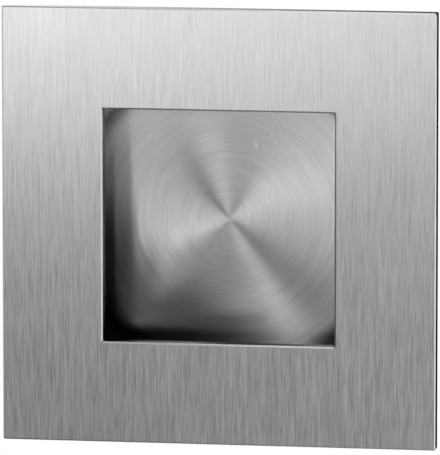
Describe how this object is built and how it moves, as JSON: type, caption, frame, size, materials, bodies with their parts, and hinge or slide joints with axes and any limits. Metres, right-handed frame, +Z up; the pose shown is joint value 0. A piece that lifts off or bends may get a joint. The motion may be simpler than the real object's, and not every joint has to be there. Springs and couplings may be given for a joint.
{
  "type": "recessed pull handle",
  "caption": "Square flush pull: a flat brushed face plate whose square window opens onto a wider, round turned finger dish sunk into the door.",
  "frame": {"origin": "where the dish's axis meets the back of the face plate, which lies on the door's surface", "axes": "+Y into the door along the dish's axis, +Z up along the plate's grain, +X to the right of someone facing the plate"},
  "size_m": [0.07, 0.0135, 0.07],
  "materials": {
    "plate_steel": "satin, fine straight vertical grain",
    "dish_steel": "satin, fine circular turning grain about the dish's axis"
  },
  "bodies": {
    "root": {"face_plate": "plate_steel", "dish": "dish_steel"}
  },
  "joints": []
}
